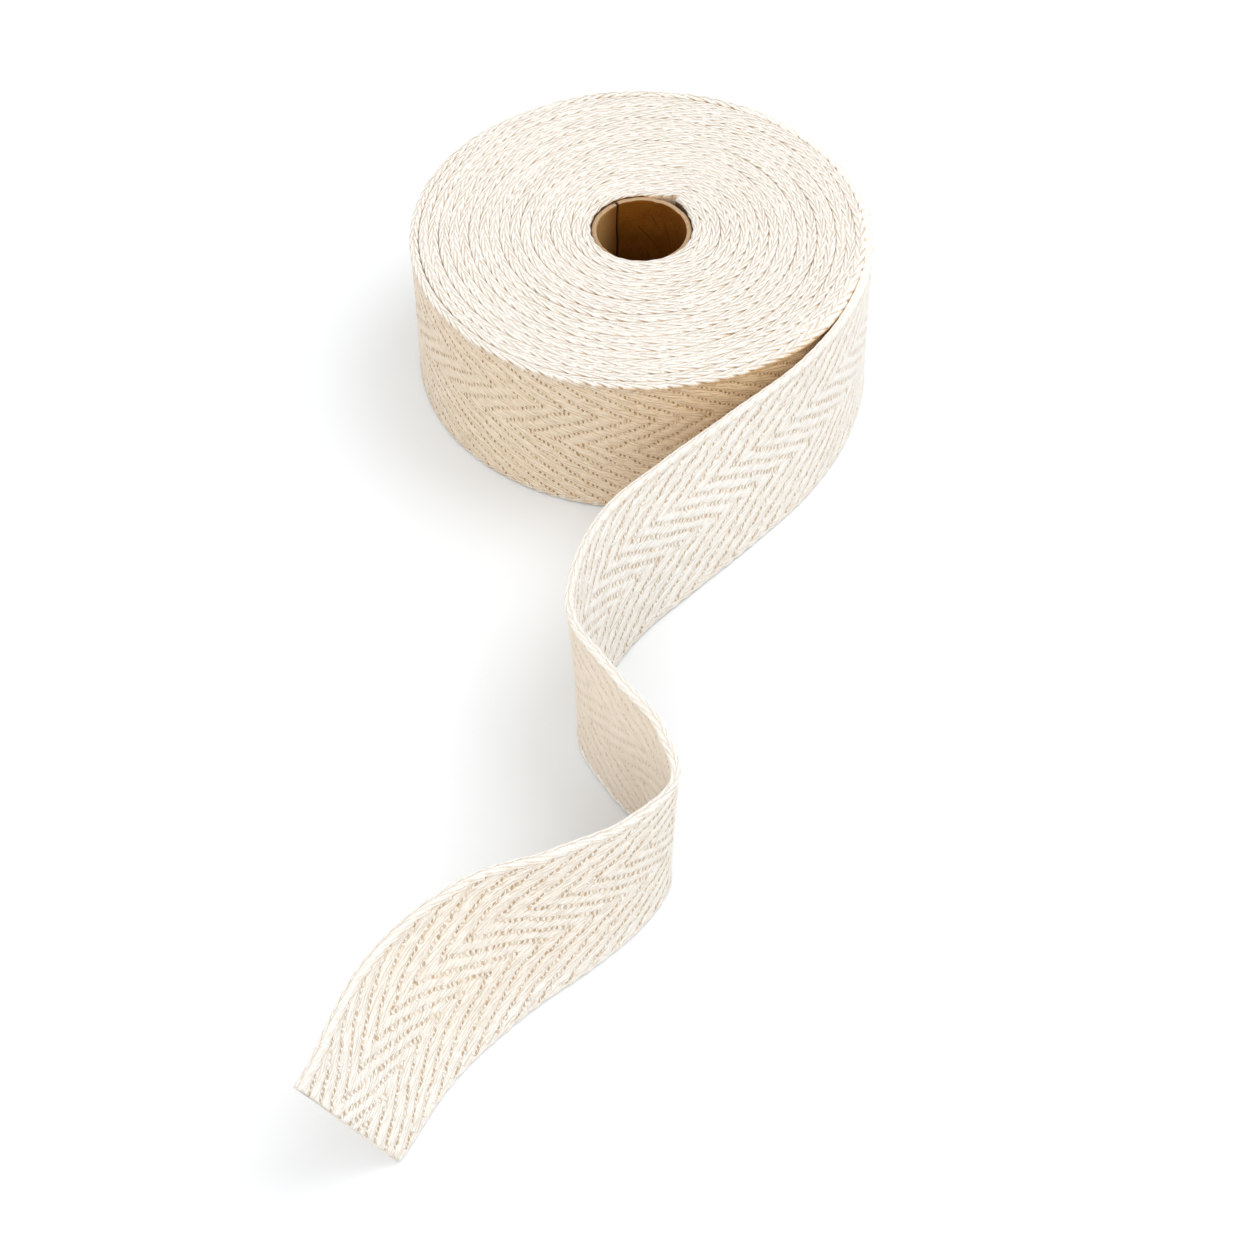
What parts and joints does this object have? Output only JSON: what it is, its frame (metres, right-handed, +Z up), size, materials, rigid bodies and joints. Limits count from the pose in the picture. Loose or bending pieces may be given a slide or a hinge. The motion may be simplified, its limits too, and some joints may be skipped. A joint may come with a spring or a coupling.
{
  "type": "roll of cotton webbing on a cardboard core",
  "caption": "Roll of herringbone cotton webbing wound flat on a cardboard core, its loose end led off on edge in an S across the surface.",
  "frame": {"origin": "middle of the underside of the whole outline, roll and loose end together, on the surface it rests on", "axes": "+Z up along the roll's axis; +Y from the cut end back towards the roll; +X to the right as seen from the cut end"},
  "size_m": [0.1486, 0.3616, 0.05],
  "materials": {
    "cotton_webbing": "unbleached cotton herringbone twill, matt",
    "core_card": "plain brown card, matt"
  },
  "bodies": {
    "root": {"webbing_wound": "cotton_webbing", "webbing_loose_end": "cotton_webbing", "core_tube": "core_card"}
  },
  "joints": []
}
